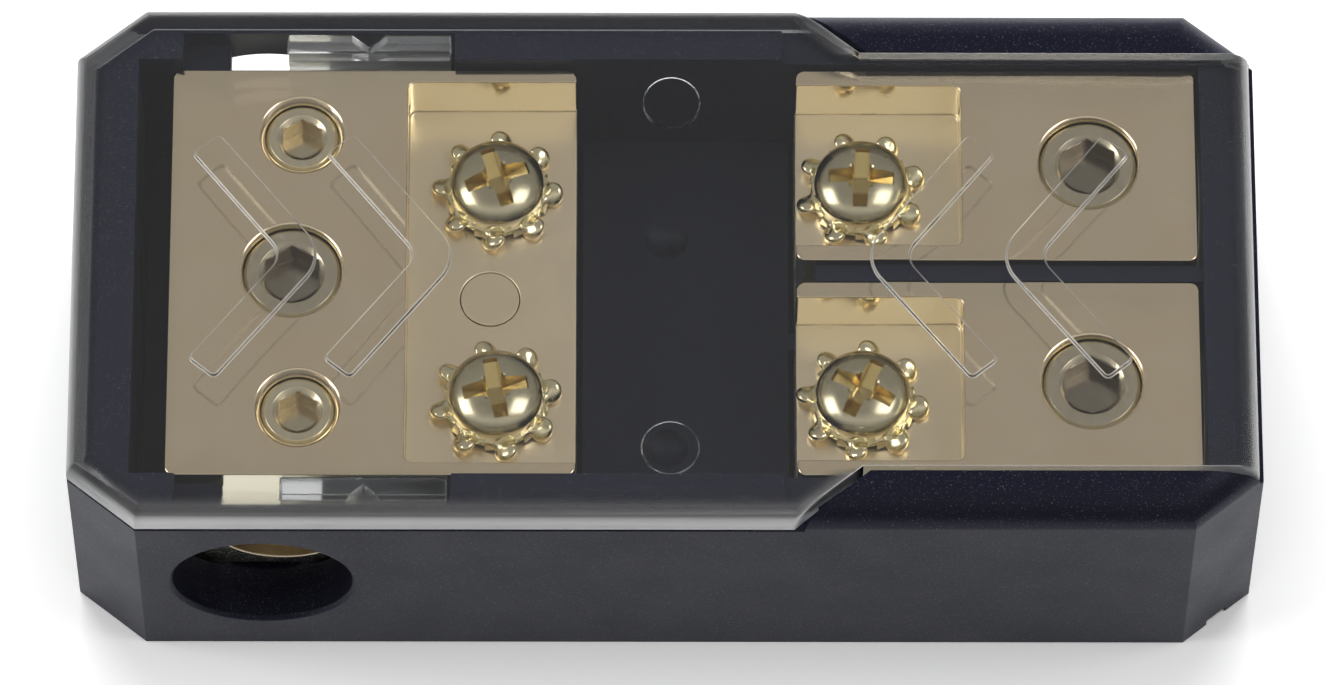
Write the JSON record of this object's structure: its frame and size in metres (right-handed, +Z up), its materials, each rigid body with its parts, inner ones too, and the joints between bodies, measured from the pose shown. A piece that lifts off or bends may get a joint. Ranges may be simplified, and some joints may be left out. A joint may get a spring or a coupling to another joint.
{
  "type": "fused distribution block",
  "caption": "Low black fused distribution block with a clear sliding cover over gold-plated terminal blocks, set screws and screw-down fuse seats.",
  "frame": {"origin": "middle of the underside", "axes": "+X towards the output end, -Y towards the front, +Z up"},
  "size_m": [0.097, 0.0466, 0.0255],
  "materials": {
    "black_plastic": "black moulded plastic, fine grain",
    "clear_plastic": "clear moulded plastic, polished",
    "gold_plate": "gold-plated, satin",
    "dark_nickel": "dark nickel plate"
  },
  "bodies": {
    "housing": {"base": "black_plastic", "input_block": "gold_plate", "output_block_rear": "gold_plate", "output_block_front": "gold_plate", "fixing_screw_input": "dark_nickel", "fixing_screw_output_rear": "dark_nickel", "fixing_screw_output_front": "dark_nickel"},
    "cover": {"cover": "clear_plastic"},
    "input_set_screw_middle": {"input_set_screw_middle": "dark_nickel"},
    "input_set_screw_rear": {"input_set_screw_rear": "gold_plate"},
    "input_set_screw_front": {"input_set_screw_front": "gold_plate"},
    "output_set_screw_rear": {"output_set_screw_rear": "dark_nickel"},
    "output_set_screw_front": {"output_set_screw_front": "dark_nickel"},
    "washer_input_rear": {"washer_input_rear": "gold_plate"},
    "fuse_screw_input_rear": {"fuse_screw_input_rear": "gold_plate"},
    "washer_input_front": {"washer_input_front": "gold_plate"},
    "fuse_screw_input_front": {"fuse_screw_input_front": "gold_plate"},
    "washer_output_rear": {"washer_output_rear": "gold_plate"},
    "fuse_screw_output_rear": {"fuse_screw_output_rear": "gold_plate"},
    "washer_output_front": {"washer_output_front": "gold_plate"},
    "fuse_screw_output_front": {"fuse_screw_output_front": "gold_plate"}
  },
  "joints": [
    {"name": "cover_slide", "type": "slide", "parent": "housing", "child": "cover", "axis": [-1, 0, 0], "range_m": [0, 0.0046]},
    {"name": "input_set_screw_middle_travel", "type": "slide", "parent": "housing", "child": "input_set_screw_middle", "axis": [0, 0, -1], "range_m": [0, 0.006]},
    {"name": "input_set_screw_rear_travel", "type": "slide", "parent": "housing", "child": "input_set_screw_rear", "axis": [0, 0, -1], "range_m": [0, 0.006]},
    {"name": "input_set_screw_front_travel", "type": "slide", "parent": "housing", "child": "input_set_screw_front", "axis": [0, 0, -1], "range_m": [0, 0.006]},
    {"name": "output_set_screw_rear_travel", "type": "slide", "parent": "housing", "child": "output_set_screw_rear", "axis": [0, 0, -1], "range_m": [0, 0.006]},
    {"name": "output_set_screw_front_travel", "type": "slide", "parent": "housing", "child": "output_set_screw_front", "axis": [0, 0, -1], "range_m": [0, 0.006]},
    {"name": "washer_input_rear_lift", "type": "slide", "parent": "housing", "child": "washer_input_rear", "axis": [0, 0, 1], "range_m": [0, 0.00175]},
    {"name": "fuse_screw_input_rear_turn", "type": "hinge", "parent": "washer_input_rear", "child": "fuse_screw_input_rear", "pos_m": [-0.01385, 0.0096, 0.0174], "axis": [0, 0, 1], "range_deg": [0, 900]},
    {"name": "washer_input_front_lift", "type": "slide", "parent": "housing", "child": "washer_input_front", "axis": [0, 0, 1], "range_m": [0, 0.00175]},
    {"name": "fuse_screw_input_front_turn", "type": "hinge", "parent": "washer_input_front", "child": "fuse_screw_input_front", "pos_m": [-0.01385, -0.0096, 0.0174], "axis": [0, 0, 1], "range_deg": [0, 900]},
    {"name": "washer_output_rear_lift", "type": "slide", "parent": "housing", "child": "washer_output_rear", "axis": [0, 0, 1], "range_m": [0, 0.00175]},
    {"name": "fuse_screw_output_rear_turn", "type": "hinge", "parent": "washer_output_rear", "child": "fuse_screw_output_rear", "pos_m": [0.01615, 0.0096, 0.0174], "axis": [0, 0, 1], "range_deg": [0, 900]},
    {"name": "washer_output_front_lift", "type": "slide", "parent": "housing", "child": "washer_output_front", "axis": [0, 0, 1], "range_m": [0, 0.00175]},
    {"name": "fuse_screw_output_front_turn", "type": "hinge", "parent": "washer_output_front", "child": "fuse_screw_output_front", "pos_m": [0.01615, -0.0096, 0.0174], "axis": [0, 0, 1], "range_deg": [0, 900]}
  ],
  "couplings": [
    {"joint": "fuse_screw_input_rear_turn", "follows": "washer_input_rear_lift", "rad_per_m": 8976},
    {"joint": "fuse_screw_input_front_turn", "follows": "washer_input_front_lift", "rad_per_m": 8976},
    {"joint": "fuse_screw_output_rear_turn", "follows": "washer_output_rear_lift", "rad_per_m": 8976},
    {"joint": "fuse_screw_output_front_turn", "follows": "washer_output_front_lift", "rad_per_m": 8976}
  ]
}
